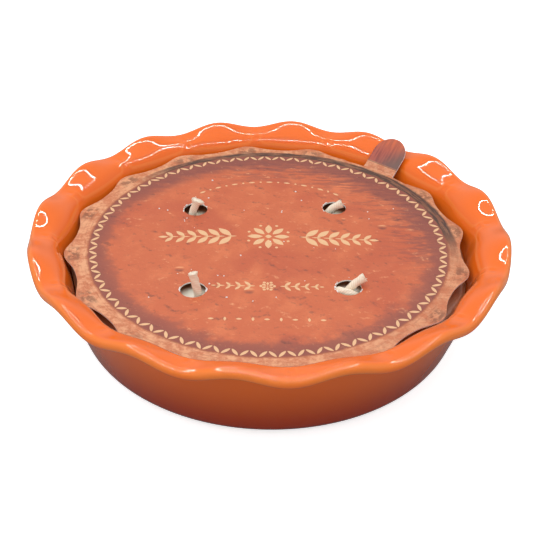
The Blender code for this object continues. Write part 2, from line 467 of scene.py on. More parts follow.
def mesh_object(name, points, edges=(), faces=()):
    mesh = bpy.data.meshes.new(name)
    mesh.from_pydata([tuple(p) for p in points], list(edges), list(faces))
    return new_object(name, mesh)


def final_mesh(item):
    """A plain mesh of an object's evaluated shape."""
    graph = bpy.context.evaluated_depsgraph_get()
    return bpy.data.meshes.new_from_object(item.evaluated_get(graph))


def keep_result(item):
    mesh = final_mesh(item)
    item.modifiers.clear()
    item.data = mesh
    return item


def dress(item, replaced=()):
    """Fix a finished piece to the body and hide the frame parts that it replaces."""
    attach(item, "root")
    if replaced:
        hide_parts(*replaced)
    return item


def bend(controls, count):
    """Points of the Bezier curve that three or four places set."""
    degree = len(controls) - 1
    points = []
    for i in range(count):
        t = i / (count - 1)
        weights = [comb(degree, k) * t ** k * (1 - t) ** (degree - k) for k in range(degree + 1)]
        columns = zip(*controls)
        points.append(Vector([sum(w * value for w, value in zip(weights, column)) for column in columns]))
    return points


def swept(path, ring):
    """Points of a tube: ring(share, angle) gives the offset from the path."""
    side = Vector((1.0, 0.0, 0.0))
    rows = []
    for i, place in enumerate(path):
        ahead = path[min(i + 1, len(path) - 1)] - path[max(i - 1, 0)]
        ahead.normalize()
        side = (side - ahead * side.dot(ahead)).normalized()
        up = ahead.cross(side)
        rows.append([place + side * x + up * y + ahead * z for x, y, z in ring(i / (len(path) - 1))])
    return rows


def tube_mesh(name, rows):
    """A closed tube through rows of points, with a cap at each end."""
    count = len(rows[0])
    points = [p for row in rows for p in row]
    faces = []
    for i in range(len(rows) - 1):
        for j in range(count):
            k = (j + 1) % count
            faces.append((i * count + j, i * count + k, (i + 1) * count + k, (i + 1) * count + j))
    for row, turn in ((0, -1), (len(rows) - 1, 1)):
        middle = len(points)
        points.append(sum(rows[row], Vector()) / count)
        for j in range(count):
            pair = (row * count + j, row * count + (j + 1) % count)
            faces.append((*pair[::turn], middle))
    return mesh_object(name, points, (), faces)


def join_meshes(name, items, look):
    """One smooth piece from several small ones."""
    work = bmesh.new()
    for item in items:
        work.from_mesh(item.data)
        bpy.data.objects.remove(item, do_unlink=True)
    mesh = bpy.data.meshes.new(name)
    work.to_mesh(mesh)
    work.free()
    mesh.shade_smooth()
    mesh.materials.append(look)
    return dress(new_object(name, mesh))


# Dish

def outer_wall(z):
    return FOOT_RADIUS + BASE_ROUND / cos(TAPER) + (z - BASE_ROUND) * tan(TAPER)


def inner_wall(z):
    return outer_wall(z) - WALL / cos(TAPER)


def dish_profile():
    """Section of the dish from the inside floor's middle, over the lip, to the foot."""
    taper = degrees(TAPER)
    corner_z = FLOOR_Z + INNER_ROUND
    corner = (inner_wall(corner_z) - INNER_ROUND / cos(TAPER), corner_z)
    start = (inner_wall(FLARE_Z), FLARE_Z)
    top = (RIM_RADIUS - LIP_ROUND, LIP_Z + LIP_ROUND)
    up = (start[0] + FLARE_RISE * sin(TAPER), start[1] + FLARE_RISE * cos(TAPER))
    out = (top[0] - FLARE_REACH * cos(FLARE_LEAN), top[1] - FLARE_REACH * sin(FLARE_LEAN))
    lip = arc((top[0], LIP_Z), LIP_ROUND, 90, -90, LIP_POINTS)
    neck_inner = (outer_wall(NECK_INNER_Z), NECK_INNER_Z)
    neck_end = (outer_wall(NECK_END_Z), NECK_END_Z)
    outer_round = arc((FOOT_RADIUS, BASE_ROUND), BASE_ROUND, -taper, -90, FOOT_ROUND_POINTS)
    foot = FOOT_RADIUS - FOOT_WIDTH
    low_wall = (inner_wall(FLUTE_HEIGHTS[0]), FLUTE_HEIGHTS[0])

    section = [(0.0, FLOOR_Z)]
    section += arc(corner, INNER_ROUND, -90, -taper, FLOOR_ROUND_POINTS)
    section += bend((low_wall, start), WALL_POINTS)[:-1]
    section += bend((start, up, out, top), FLARE_POINTS)[:-1]
    section += lip
    section += bend((lip[-1], NECK, neck_inner, neck_end), NECK_POINTS)[1:-1]
    section += bend((neck_end, outer_round[0]), WALL_POINTS)[:-1]
    section += outer_round
    section += [(foot, 0.0), (foot - FOOT_BEVEL[0], FOOT_BEVEL[1])]
    section += [(foot - FOOT_RECESS, FOOT_RECESS), (0.0, FOOT_RECESS)]
    return [tuple(point) for point in section]


def glaze_material(colours):
    """Thick orange glaze: paler on the lip and panel ridges, partly thinner glaze and partly a painted
    highlight, and darkened towards the foot by painted shade.
    """
    look = Surface("orange_glaze")
    place = look.object_place()
    x, y, z = look.split(place)
    radius = (x * x + y * y) ** 0.5
    base = Paint(look, colours.glaze)
    cloud = look.noise(place, "glaze")
    base.lay(colours.glaze_deep, cloud.ease(0.45, 0.9) * 0.35)
    # Painted shade: the outer wall darkens towards the foot
    low = z.ease(*FOOT_SHADE_HEIGHTS) * radius.ease(*FOOT_SHADE_RADII)
    base.lay(colours.glaze_foot, low * 0.92)
    # Paler on the lip and along the panel ridges: partly thinner glaze, partly a painted highlight along
    # these edges
    lip = radius.ease(*THIN_RADII) * z.ease(*THIN_HEIGHTS)
    ridge = look.out("ShaderNodeAttribute", {"attribute_name": RIDGE}, output=2)
    base.lay(colours.glaze_thin, (lip * 0.45 + ridge * 0.3).math("MINIMUM", 1.0))
    ripple = look.noise(place, "ripple")
    return look.finish(base_color=base.colour, roughness=0.055, normal=look.bump(ripple, 0.00012, 0.35),
                       specular_ior_level=0.32, coat_weight=0.2, coat_roughness=0.03)


def turned(name, section, steps, shape, look):
    """Turn a section round the axis and flute it as the rim is fluted."""
    item = mesh_object(name, [(r, 0.0, z) for r, z in section])
    rows = len(section)
    maker = Maker(name, Steps=steps, Waves=float(shape.waves), Fold=shape.fold_angle, Rise=shape.wave_rise,
                  Flute=shape.flute_depth, Frame=shape.panel_frame, Panel=shape.panel_start,
                  Sink=shape.panel_depth, Round=shape.panel_round, Finish=look)
    given = maker.given
    grid_sizes = {"Size X": 1.0, "Size Y": 1.0, "Vertices X": given["Steps"], "Vertices Y": rows}
    grid = maker.out("GeometryNodeMeshGrid", None, grid_sizes)
    index = maker.out("GeometryNodeInputIndex")
    row = index.math("MODULO", rows)
    step = (index / rows).math("FLOOR")
    position = maker.out("GeometryNodeInputPosition")
    sampled = {0: given["Geometry"], 1: position, 2: row}
    settings = {"data_type": "FLOAT_VECTOR", "domain": "POINT"}
    radius, _, height = maker.split(maker.out("GeometryNodeSampleIndex", settings, sampled))
    angle = step / (given["Steps"] - 1.0) * (-2.0 * pi)
    turn = (angle - given["Fold"]) * given["Waves"]

    # Waves: the rim rises and falls, and the inside wall swings in and out
    wave = -turn.math("COSINE")
    lift = radius.ease(*WAVE_RADII) * height.ease(*WAVE_HEIGHTS)
    wall = (height - BASE_ROUND) * tan(TAPER) + (FOOT_RADIUS + BASE_ROUND / cos(TAPER))
    within = (wall - radius).ease(0.0, WALL)
    inside = height.ease(*FLUTE_HEIGHTS) * radius.ease(*FLUTE_RADII) * within
    grown = radius - given["Flute"] * wave * inside

    # Each lobe holds a shallow panel with rounded corners
    share = (turn / (2.0 * pi)).math("FRACT")
    beside = (1.0 - (share - 0.5).math("ABSOLUTE") * 2.0) * radius * pi / given["Waves"]
    depth = (beside - given["Frame"]).math("SMOOTH_MIN", radius - given["Panel"], given["Round"])
    upper = height.ease(*PANEL_HEIGHTS) * (1.0 - radius.ease(*PANEL_RADII))
    upper = upper * (height - PANEL_LOW).ease(0.0, MM)
    sunk = given["Sink"] * depth.ease(*PANEL_EDGE) * upper
    # The ridge band is stored for the glaze, which paints it paler, partly as a painted highlight
    ridge = depth.band(*RIDGE_BAND) * upper
    for reach, long, wide, deep in DIMPLES:
        along = (radius - reach) / long
        away = beside / (wide * MM)
        sunk = sunk + (1.0 - (along * along + away * away)).math("MAXIMUM", 0.0) * deep * upper
    raised = height + given["Rise"] * wave * lift - sunk
    place = maker.join(grown * angle.math("COSINE"), grown * angle.math("SINE"), raised)
    shaped = maker.out("GeometryNodeSetPosition", inputs={0: grid, "Position": place})
    kept = {0: shaped, "Name": RIDGE, "Value": ridge}
    noted = maker.out("GeometryNodeStoreNamedAttribute", {"data_type": "FLOAT", "domain": "POINT"}, kept)
    closed = maker.out("GeometryNodeMergeByDistance", inputs={0: noted, "Distance": MERGE})
    return maker.build(closed, item)


class CANDLE_OT_dish(bpy.types.Operator):
    """Turn the dish and flute its rim"""

    bl_idname = "candle.dish"
    bl_label = "Dish"

    def execute(self, context):
        shape = context.scene.candle_dish
        look = glaze_material(context.scene.candle_colours)
        dish = turned("dish_glazed", dish_profile(), shape.steps, shape, look)
        dress(dish, ("dish",))
        return {"FINISHED"}


# Card cover

def spin(x, y, angle):
    """Turn a place, or a term's place, about the card's middle."""
    return x * cos(angle) - y * sin(angle), x * sin(angle) + y * cos(angle)


def hole_centres():
    half_x, half_y = HOLE_SPACING[0] / 2.0, HOLE_SPACING[1] / 2.0
    places = []
    for corner in ((-half_x, half_y), (half_x, half_y), (half_x, -half_y), (-half_x, -half_y)):
        x, y = spin(*corner, HOLE_TURN)
        places.append((x + HOLE_SHIFT[0], y + HOLE_SHIFT[1]))
    return places


def card_outline(points_per_scallop, tab_points):
    """The flat blank's outline, with the tab lying straight out."""
    count = SCALLOPS * points_per_scallop
    points = []
    for i in range(count):
        angle = TAB_ANGLE + 2.0 * pi * (i + 0.5) / count
        off = min(angle - TAB_ANGLE, TAB_ANGLE + 2.0 * pi - angle)
        if off * TAB_ROOT < TAB_HALF_WIDTH + TAB_TRIM:
            continue
        turn = SCALLOPS * (angle - SCALLOP_ANGLE)
        radius = CARD_RADIUS + SCALLOP * cos(turn) + SCALLOP_SHARPNESS * cos(2.0 * turn)
        shift = CARD_SHIFT
        if off < TAB_CLEAR:
            radius = TAB_ROOT
            shift = (0.0, 0.0)
        points.append((radius * cos(angle) + shift[0], radius * sin(angle) + shift[1]))
    root = sqrt(TAB_ROOT ** 2 - TAB_HALF_WIDTH ** 2)
    end = TAB_ROOT + TAB_LENGTH - TAB_HALF_WIDTH
    tab = [(root, -TAB_HALF_WIDTH)] + arc((end, 0.0), TAB_HALF_WIDTH, -90, 90, tab_points)
    tab += [(root, TAB_HALF_WIDTH)]
    return points + [spin(along, across, TAB_ANGLE) for along, across in tab]


def lay_on_card(x, y, z):
    """Move a point of the flat card to its place on the tilted card with its tab up."""
    along, across = spin(x, y, -TAB_ANGLE)
    past = along - TAB_BEND_START
    if past > 0.0:
        turn = min(past / TAB_BEND_RADIUS, TAB_BEND)
        straight = past - turn * TAB_BEND_RADIUS
        along = TAB_BEND_START + (TAB_BEND_RADIUS - z) * sin(turn) + straight * cos(turn)
        z = TAB_BEND_RADIUS - (TAB_BEND_RADIUS - z) * cos(turn) + straight * sin(turn)
        x, y = spin(along, across, TAB_ANGLE)
    place = Matrix.Rotation(CARD_TILT, 3, "X") @ Vector((x, y, z))
    return place + CARD_PLACE


def lay_mesh(item):
    """Lay a flat print on the card's upper side."""
    for vertex in item.data.vertices:
        vertex.co = lay_on_card(vertex.co.x, vertex.co.y, vertex.co.z + CARD_THICK)


def add_loop(curve, points):
    spline = curve.splines.new("POLY")
    spline.points.add(len(points) - 1)
    for point, (x, y) in zip(spline.points, points):
        point.co = (x, y, 0.0, 1.0)
    spline.use_cyclic_u = True


def print_material(colours):
    """Printed field, crust band and tab, drawn in millimetres from the card's flat layout."""
    look = Surface("printed_card")
    x, y, _ = look.split(look.uv_place())
    x = x / MM
    y = y / MM
    place = look.join(x, y, 0.0)
    radius = (x * x + y * y) ** 0.5
    angle = y.math("ARCTAN2", x)
    round_place = look.join(angle * RING_STRETCH, radius, 0.0)

    def sector(low, high, soft):
        return angle.band(radians(low), radians(high), radians(soft))

    def near(direction, low, high):
        return 1.0 - (angle - direction).math("ABSOLUTE").ease(radians(low), radians(high))

    # Baked field: broad patches, browned towards the ring, streaked on the far side
    field = Paint(look, colours.field)
    field.lay(colours.field_light, look.noise(place, "patch").ease(0.52, 0.34))
    field.lay(colours.field_red, look.noise(place, "broad").ease(0.5, 0.62) * 0.6)
    edge = radius.ease(*FIELD_EDGE)
    brown = (edge * 0.5 + look.noise(place, "cloud")).ease(0.58, 0.88)
    field.lay(colours.field_dark, brown * (0.3 + edge * 0.65))
    streaks = look.noise(look.join(x * STREAK_STRETCH, y, 0.0), "streak")
    far_side = sector(*FAR_SECTOR) * radius.ease(*FAR_RADII)
    field.lay(colours.field_dark, streaks.ease(0.44, 0.6) * far_side * 0.8)
    top = sector(*TOP_SECTOR) * radius.ease(*TOP_RADII)
    field.lay(colours.field_dark, top * (0.55 + streaks.ease(0.42, 0.56) * 0.4))

    # Wrinkles with a lit and a shaded side, and soft dents
    slope = look.relief(x, y, "wrinkle")
    field.lay(colours.field_glow, slope.ease(0.045, 0.16) * (1.0 - edge * 0.5) * 0.75)
    field.lay(colours.field_pit, slope.ease(-0.03, -0.14) * 0.75)
    grain = look.relief(x, y, "grain")
    field.lay(colours.field_glow, grain.ease(0.08, 0.25) * 0.25)
    field.lay(colours.field_pit, grain.ease(-0.06, -0.22) * 0.22)
    dents = look.node("ShaderNodeTexVoronoi", inputs={"Vector": place, "Scale": DENT_SCALE})
    pick, size, _ = look.split(Term(look, dents.outputs["Color"]))
    _, middle, _ = look.split(Term(look, dents.outputs["Position"]))
    reach = size * 2.6 + 1.4
    depth = (1.0 - Term(look, dents.outputs["Distance"]) / DENT_SCALE / reach).ease(0.0, 0.55)
    depth = depth * pick.ease(0.42, 0.43)
    side = (y - middle) / reach
    field.lay(colours.field_pit, depth * side.ease(0.25, -0.5) * 0.75)
    field.lay(colours.field_glow, depth * side.band(0.35, 0.6, 0.2) * 0.7)

    # Crust band: rough dough with fine grooves, browned on the right, smooth in front
    dough = look.relief(x, y, "dough")
    fine = look.noise(place, "fine")
    right = near(0.0, *RIGHT_REACH)
    front = near(-pi / 2.0, *FRONT_REACH)
    rough = 1.0 - front * 0.75
    crust = Paint(look, colours.crust)
    crust.lay(colours.crust_light, (fine * 0.5 + look.noise(place, "flour") * 0.5).ease(0.43, 0.58))
    crust.lay(colours.crust_brown, right * (0.15 + fine.ease(0.45, 0.62) * 0.4))
    crust.lay(colours.crust_brown, look.noise(round_place, "groove").ease(0.5, 0.64) * 0.38)
    crust.lay(colours.crust_light, dough.ease(0.03, 0.16) * rough * 0.6)
    crust.lay(colours.crust_burn, dough.ease(-0.05, -0.2) * rough * (0.35 + right * 0.25))

    # Toasted spots at the tips, fewest in front
    lobe = ((angle - SCALLOP_ANGLE) * SCALLOPS).math("COSINE")
    toast = lobe.ease(0.35, 0.95) * radius.band(*TOAST_RADII) * (1.0 - front * 0.8)
    toast = toast * (angle - TAB_ANGLE).math("ABSOLUTE").ease(0.12, 0.2)
    crust.lay(colours.crust_burn, toast * look.noise(place, "toast").ease(0.42, 0.54) * 0.65)

    # Where field and crust meet: a ragged line, and a streaked shadow on the far side
    ragged = radius + (look.noise(place, "rag") - 0.5) * 2.4 - (CRUST_START + (1.0 - front) * 0.4)
    drawn = Paint(look, field.colour)
    drawn.lay(crust.colour, ragged.ease(-0.3, 0.3))
    drawn.lay(colours.crust_brown, ragged.band(-0.4, 0.4, 0.6) * 0.5)
    width = SHADOW_WIDTH - angle.ease(*SHADOW_NARROWS) * 1.2
    shadow = sector(*SHADOW_SECTOR) * ragged.ease(-0.8, 0.2) * (ragged - width).ease(0.8, -1.0)
    shade = look.noise(round_place, "shade").ease(0.56, 0.46)
    drawn.lay(colours.crust_shadow, shadow * (0.7 + shade * 0.3))

    # Tab: soft stripes, paler at its end and greyed low on its right
    along, across = spin(x, y, -TAB_ANGLE)
    stripes = look.noise(look.join(along * STRIPE_STRETCH, across, 0.0), "stripe")
    tab = Paint(look, colours.tab)
    tab.lay(colours.tab_dark, stripes.ease(0.44, 0.6) * 0.8)
    tab.lay(colours.tab_light, along.ease(*TAB_GLOW) * (0.55 + stripes.ease(0.5, 0.4) * 0.4))
    tab.lay(colours.tab_grey, (along * -0.7 + across * -0.8 + 84.0).ease(-3.0, 11.0) * 0.9)
    drawn.lay(tab.colour, along.ease(TAB_PRINT, TAB_PRINT + 0.5))
    seam = along.band(TAB_PRINT - 0.3, TAB_PRINT, 0.25) * across.math("ABSOLUTE").ease(*SEAM_HALF)
    drawn.lay(colours.crust_shadow, seam * along.ease(*SEAM_START) * 0.6)

    fibres = look.noise(place, "fibre")
    return look.finish(base_color=drawn.colour, roughness=0.44 + fibres * 0.06,
                       normal=look.bump(fibres, 0.00003, 0.3), specular_ior_level=0.22)


def paper_material(name, pale, shade):
    """Bare fibres of the card, on its cut edge or its back."""
    look = Surface(name)
    fibres, base = look.mottled("paper", pale, shade, 0.4, 0.75, 0.5)
    return look.finish(base_color=base, roughness=0.85, normal=look.bump(fibres, 0.00008, 0.6))


class CANDLE_OT_card(bpy.types.Operator):
    """Cut, print and lay the card cover"""

    bl_idname = "candle.card"
    bl_label = "Card Cover"

    def execute(self, context):
        colours = context.scene.candle_colours
        curve = bpy.data.curves.new("card_blank", "CURVE")
        curve.dimensions = "2D"
        curve.fill_mode = "BOTH"
        curve.extrude = CARD_THICK / 2.0
        add_loop(curve, card_outline(SCALLOP_POINTS, TAB_POINTS))
        for centre in hole_centres():
            add_loop(curve, arc(centre, HOLE_RADIUS, 0, 360 - 360 / HOLE_POINTS, HOLE_POINTS))
        blank = new_object("card_blank", curve)
        mesh = final_mesh(blank)
        bpy.data.objects.remove(blank, do_unlink=True)
        work = bmesh.new()
        work.from_mesh(mesh)
        bmesh.ops.remove_doubles(work, verts=work.verts, dist=MERGE)
        along = Vector((cos(TAB_ANGLE), sin(TAB_ANGLE), 0.0))
        for i in range(TAB_SLICES):
            reach = TAB_BEND_START + i * TAB_SLICE
            everything = work.verts[:] + work.edges[:] + work.faces[:]
            bmesh.ops.bisect_plane(work, geom=everything, plane_co=along * reach, plane_no=along, dist=MERGE)
        layout = work.loops.layers.uv.new("flat_layout")
        for face in work.faces:
            side = abs(face.normal.z) < 0.5
            face.material_index = 1 if side else 2 if face.normal.z < 0.0 else 0
            face.smooth = side
            for loop in face.loops:
                loop[layout].uv = loop.vert.co.xy
        for vertex in work.verts:
            vertex.co = lay_on_card(vertex.co.x, vertex.co.y, vertex.co.z + CARD_THICK / 2.0)
        bmesh.ops.recalc_face_normals(work, faces=work.faces)
        work.to_mesh(mesh)
        work.free()
        for name in [layer.name for layer in mesh.uv_layers if layer.name != "flat_layout"]:
            mesh.uv_layers.remove(mesh.uv_layers[name])
        mesh.set_sharp_from_angle(angle=SHARP_EDGE)
        mesh.materials.append(print_material(colours))
        mesh.materials.append(paper_material("card_edge", colours.paper, colours.paper_shade))
        mesh.materials.append(paper_material("card_back", colours.board, colours.board_shade))
        card = new_object("card_cover", mesh)
        dress(card, ("card",))
        return {"FINISHED"}


# Printed marks

def ink_material(colours):
    """Pale ink with a slight mottle."""
    look = Surface("pale_ink")
    _, base = look.mottled("ink", colours.ink, colours.ink_shade, 0.4, 0.8, 0.4)
    return look.finish(base_color=base, roughness=0.45, specular_ior_level=0.35)


def marked_points(name, marks):
    """Points that carry each mark's turn, length and width."""
    item = mesh_object(name, [(place.x, place.y, 0.0) for place, *_ in marks])
    for key, column in (("turn", 1), ("long", 2), ("wide", 3)):
        store = item.data.attributes.new(key, "FLOAT", "POINT")
        store.data.foreach_set("value", [mark[column] for mark in marks])
    return item


def add_mark(maker, points, turn, long, wide, blunt):
    """A flat mark with rounded sides, set on each point."""
    shape = {"Vertices": 20, "Radius": 1.0, "Depth": 1.0}
    disc = maker.out("GeometryNodeMeshCylinder", {"fill_type": "NGON"}, shape)
    x, y, z = maker.split(maker.out("GeometryNodeInputPosition"))
    taper = (1.0 - (x * x) * (1.0 - blunt)).math("MAXIMUM", 0.0) ** 0.7
    lens = maker.out("GeometryNodeSetPosition", None, {0: disc, "Position": maker.join(x, y * taper, z)})
    return maker.strew(lens, points, turn, long, wide, maker.given["Ink"])


class CANDLE_OT_zigzag(bpy.types.Operator):
    """Print the ring of slanted dashes"""

    bl_idname = "candle.zigzag"
    bl_label = "Zigzag Ring"

    def execute(self, context):
        sizes = context.scene.candle_print
        item = mesh_object("zigzag_ring", [(0.0, 0.0, 0.0)])
        maker = Maker("Zigzag Ring", Dashes=sizes.dashes, Radius=sizes.ring_radius, Slant=sizes.slant,
                      Long=sizes.dash_length / 2.0, Wide=sizes.dash_width / 2.0, Ink=sizes.ink_height,
                      Start=sizes.ring_start, Step=sizes.dash_step,
                      Finish=ink_material(context.scene.candle_colours))
        given = maker.given
        index = maker.out("GeometryNodeInputIndex")
        angle = given["Start"] - index * given["Step"]
        side = index.math("MODULO", 2.0) * 2.0 - 1.0
        place = maker.join(angle.math("COSINE") * given["Radius"], angle.math("SINE") * given["Radius"], 0.0)
        points = maker.out("GeometryNodePoints", None, {"Count": given["Dashes"], "Position": place})
        turn = angle + pi / 2.0 + side * given["Slant"]
        marks = add_mark(maker, points, turn, given["Long"], given["Wide"], 0.5)
        ring = maker.build(marks, item, False)
        lay_mesh(ring)
        dress(ring)
        return {"FINISHED"}


def ray(turn):
    return Vector((cos(turn), sin(turn)))


def sprig(start, end, leaves, long, wide):
    """Marks of a leafy sprig: a stem of short dashes with pairs of leaves."""
    marks = []
    ahead = Vector(end) - Vector(start)
    heading = atan2(ahead.y, ahead.x)
    for i in range(leaves):
        share = (i + 0.5) / leaves
        base = Vector(start) + ahead * share
        size = 1.0 - 0.45 * share
        marks.append((base, heading, ahead.length / leaves * 0.42, STEM))
        for side in (-1, 1):
            turn = heading + side * LEAF_SPREAD
            tip = ray(turn) * long * size
            marks.append((base + tip * 1.12, turn, long * size, wide * size))
    marks.append((Vector(end) + ahead.normalized() * long * 0.45, heading, long * 0.5, wide * 0.5))
    return marks


def rosette(centre, petals, inner, long, wide):
    """Marks of a round flower: petals about a ring of dots."""
    marks = []
    for i in range(petals):
        turn = 2.0 * pi * i / petals + radians(90.0)
        marks.append((Vector(centre) + ray(turn) * (inner + long), turn, long, wide))
        turn += pi / petals
        marks.append((Vector(centre) + ray(turn) * (inner + long * 2.0), turn, DOT, DOT))
    marks.append((Vector(centre), 0.0, inner * 0.55, inner * 0.55))
    return marks


def ornament_marks():
    """Generic leaf and dot ornament in the middle of the card."""
    marks = []
    for side in (-1, 1):
        for start, end, *leaf in SPRIGS:
            marks += sprig((side * start[0], start[1]), (side * end[0], end[1]), *leaf)
    for flower in ROSETTES:
        marks += rosette(*flower)
    for i in range(-BOW_HALF, BOW_HALF + 1):
        turn = radians(90.0 + i * BOW_STEP)
        marks.append((ray(turn) * BOW_RADIUS, turn + pi / 2.0, SMALL_DOT if i % 2 else 2.0, SMALL_DOT))
    for i in range(-ROW_HALF, ROW_HALF + 1):
        marks.append((Vector((i * ROW_STEP, ROW_Y)), pi / 2.0 if i % 2 else 0.0, 1.5, SMALL_DOT))
    return [(place * MM, turn, long * MM, wide * MM) for place, turn, long, wide in marks]


class CANDLE_OT_ornament(bpy.types.Operator):
    """Print the leaf and dot ornament"""

    bl_idname = "candle.ornament"
    bl_label = "Ornament"

    def execute(self, context):
        marks = ornament_marks()
        item = marked_points("leaf_ornament", marks)
        maker = Maker("Leaf Ornament", Ink=context.scene.candle_print.ink_height,
                      Finish=ink_material(context.scene.candle_colours))
        shapes = maker.stored("turn", "long", "wide")
        printed = maker.build(add_mark(maker, maker.given["Geometry"], *shapes, 0.1), item, False)
        lay_mesh(printed)
        dress(printed)
        return {"FINISHED"}


# Wax

def wax_material(colours):
    """Cream wax with a soft, faintly dimpled skin, and painted shade where the card hangs over it."""
    look = Surface("cream_wax")
    skin, base = look.mottled("wax", colours.wax, colours.wax_shade, 0.4, 0.8, 0.5)
    # Painted shade: away from the holes, under the card, the wax turns brown
    flat = look.vector("MULTIPLY", look.object_place(), (1.0, 1.0, 0.0))
    away = 1.0
    for centre in hole_centres():
        away = look.vector("DISTANCE", flat, (*centre, 0.0), output=1).math("MINIMUM", away)
    base = look.mix(base, colours.wax_under, away.ease(*WAX_SHADE_REACH))
    return look.finish(base_color=base, roughness=0.38 + skin * 0.2, normal=look.bump(skin, 0.0003, 0.5),
                       subsurface_weight=0.25, subsurface_radius=(0.004, 0.003, 0.002))


def wax_profile():
    """Section of the wax: its skin, which sinks towards the wall, its side and its bottom."""
    low_rim = WAX_LEVEL - WAX_SINK
    edge = inner_wall(low_rim) - WAX_GAP
    floor = FLOOR_Z + WAX_GAP
    low = inner_wall(floor) - WAX_GAP - INNER_ROUND
    skin = WAX_LEVEL - WAX_CLIMB
    section = []
    for i in range(WAX_POINTS):
        reach = edge * i / (WAX_POINTS - 1)
        section.append((reach, skin - (WAX_SINK - WAX_CLIMB) * ease(reach, WAX_SINK_START, edge)))
    low_wall = (inner_wall(FLUTE_HEIGHTS[0]) - WAX_GAP, FLUTE_HEIGHTS[0])
    section += bend(((edge, low_rim), low_wall), WALL_POINTS)[1:]
    section += [(low + INNER_ROUND, floor + INNER_ROUND), (low, floor), (0.0, floor)]
    return [tuple(point) for point in section]


class CANDLE_OT_wax(bpy.types.Operator):
    """Pour the wax fill"""

    bl_idname = "candle.wax"
    bl_label = "Wax"

    def execute(self, context):
        shape = context.scene.candle_dish
        look = wax_material(context.scene.candle_colours)
        wax = turned("wax_fill", wax_profile(), shape.wax_steps, shape, look)
        for vertex in wax.data.vertices:
            place = vertex.co
            if place.z > WAX_LEVEL - 2.0 * WAX_CLIMB:
                away = min((place.xy - Vector(foot[0]) * MM).length for foot in WICKS.values())
                place.z += WAX_CLIMB * (1.0 - ease(away, *WAX_COLLAR))
                relief = noise.noise(place * WAX_DIMPLES) * WAX_RELIEF
                place.z += relief * ease(WAX_LEVEL - place.z, 0.0, WAX_RELIEF)
        dress(wax, ("wax",))
        return {"FINISHED"}


# Wicks

def cotton_material(colours):
    """Braided cotton stiffened with wax."""
    look = Surface("waxed_cotton")
    u, v, _ = look.split(look.uv_place())
    strand = ((u * 6.0 + v * 900.0) * (2.0 * pi)).math("SINE")
    hair = look.noise(look.join(u * 30.0, v * 400.0, 0.0), "cotton")
    tone = strand.ease(-1.0, 0.6) * 0.5 + hair * 0.5
    base = look.mix(colours.cotton_shade, colours.cotton, tone)
    return look.finish(base_color=base, roughness=0.6, normal=look.bump(tone, 0.0002, 0.6))


def wick_piece(name, path, sizes, look, head, twist):
    """A braided wick along a path; its head widens to one or both sides."""
    def ring(share):
        points = []
        flare = ease(share, *HEAD_START)
        for j in range(sizes.sides):
            angle = 2.0 * pi * j / sizes.sides
            strand = abs(sin(STRANDS * (angle + share * twist)))
            radius = sizes.radius * (0.9 + STRAND_SWELL * strand)
            x, y = radius * cos(angle), radius * sin(angle) * WICK_FLATTEN
            x *= 1.0 + flare * (head[0] if x < 0.0 else head[1])
            torn = noise.noise(Vector((x, y, share)) * TEAR_SCALE) * TEAR * ease(share, *TEAR_START)
            points.append((x + torn, y + torn * 0.6, torn * 1.3))
        return points

    wick = tube_mesh(name, swept(path, ring))
    layout = wick.data.uv_layers.new(name="around_along")
    long = sum((b - a).length for a, b in zip(path, path[1:]))
    for polygon in wick.data.polygons:
        for loop in polygon.loop_indices:
            vertex = wick.data.loops[loop].vertex_index
            row, column = divmod(vertex, sizes.sides)
            layout.data[loop].uv = (column / sizes.sides, row / len(path) * long)
    wick.data.shade_smooth()
    wick.data.materials.append(look)
    return wick


class CANDLE_OT_wicks(bpy.types.Operator):
    """Stand the four wicks in the wax"""

    bl_idname = "candle.wicks"
    bl_label = "Wicks"

    def execute(self, context):
        sizes = context.scene.candle_wick
        look = cotton_material(context.scene.candle_colours)
        for node, (start, middle, end) in WICKS.items():
            foot = (*start, WAX_LEVEL / MM - WICK_DEPTH)
            path = [p * MM for p in bend((foot, middle, end), sizes.rings)]
            wick = wick_piece(node + "_braid", path, sizes, look, WICK_HEADS[node], sizes.twist)
            dress(wick, (node,))
        folded = [p * MM for p in bend(WICK_FOLD, sizes.rings)]
        lump = wick_piece("wick_front_right_fold", folded, sizes, look, (0.1, 0.1), sizes.twist)
        dress(lump)

        # Loose hairs stand off the cut heads
        draws = random.Random(HAIR_SEED)
        hairs = []
        for start, middle, end in WICKS.values():
            tip = Vector(end)
            lean = (tip - Vector(middle)).normalized()
            for _ in range(sizes.hairs):
                away = Vector([draws.uniform(-1.0, 1.0) for _ in range(3)])
                root = tip - lean * draws.uniform(0.2, 1.6) + away * 1.1
                reach = root + (away + lean * 0.6) * draws.uniform(0.6, 1.6)
                sag = reach + Vector((draws.uniform(-0.6, 0.6), 0.0, -0.5))
                path = [p * MM for p in bend((tip - lean * 1.5, root, reach, sag), HAIR_POINTS)]
                rows = swept(path, lambda share: [(*p, 0.0) for p in arc((0.0, 0.0), HAIR, 0, 288, 5)])
                hairs.append(tube_mesh("hair", rows))
        join_meshes("wick_hairs", hairs, look)
        return {"FINISHED"}


# Flecks of white dust on the card and torn fibres round its holes

def torn_places(draws):
    """Lumps along the torn stretches of each hole's edge."""
    marks = []
    for centre, stretches in zip(hole_centres(), HOLE_TEARS):
        for start, end, count in stretches:
            for _ in range(count):
                turn = radians(draws.uniform(start, end))
                reach = HOLE_RADIUS + draws.uniform(-0.2, 0.5) * MM
                place = Vector(centre) + ray(turn) * reach
                long, wide = draws.uniform(*LUMP_LENGTHS) * MM, draws.uniform(*LUMP_WIDTHS) * MM
                marks.append((place, turn + pi / 2.0, long, wide))
    return marks


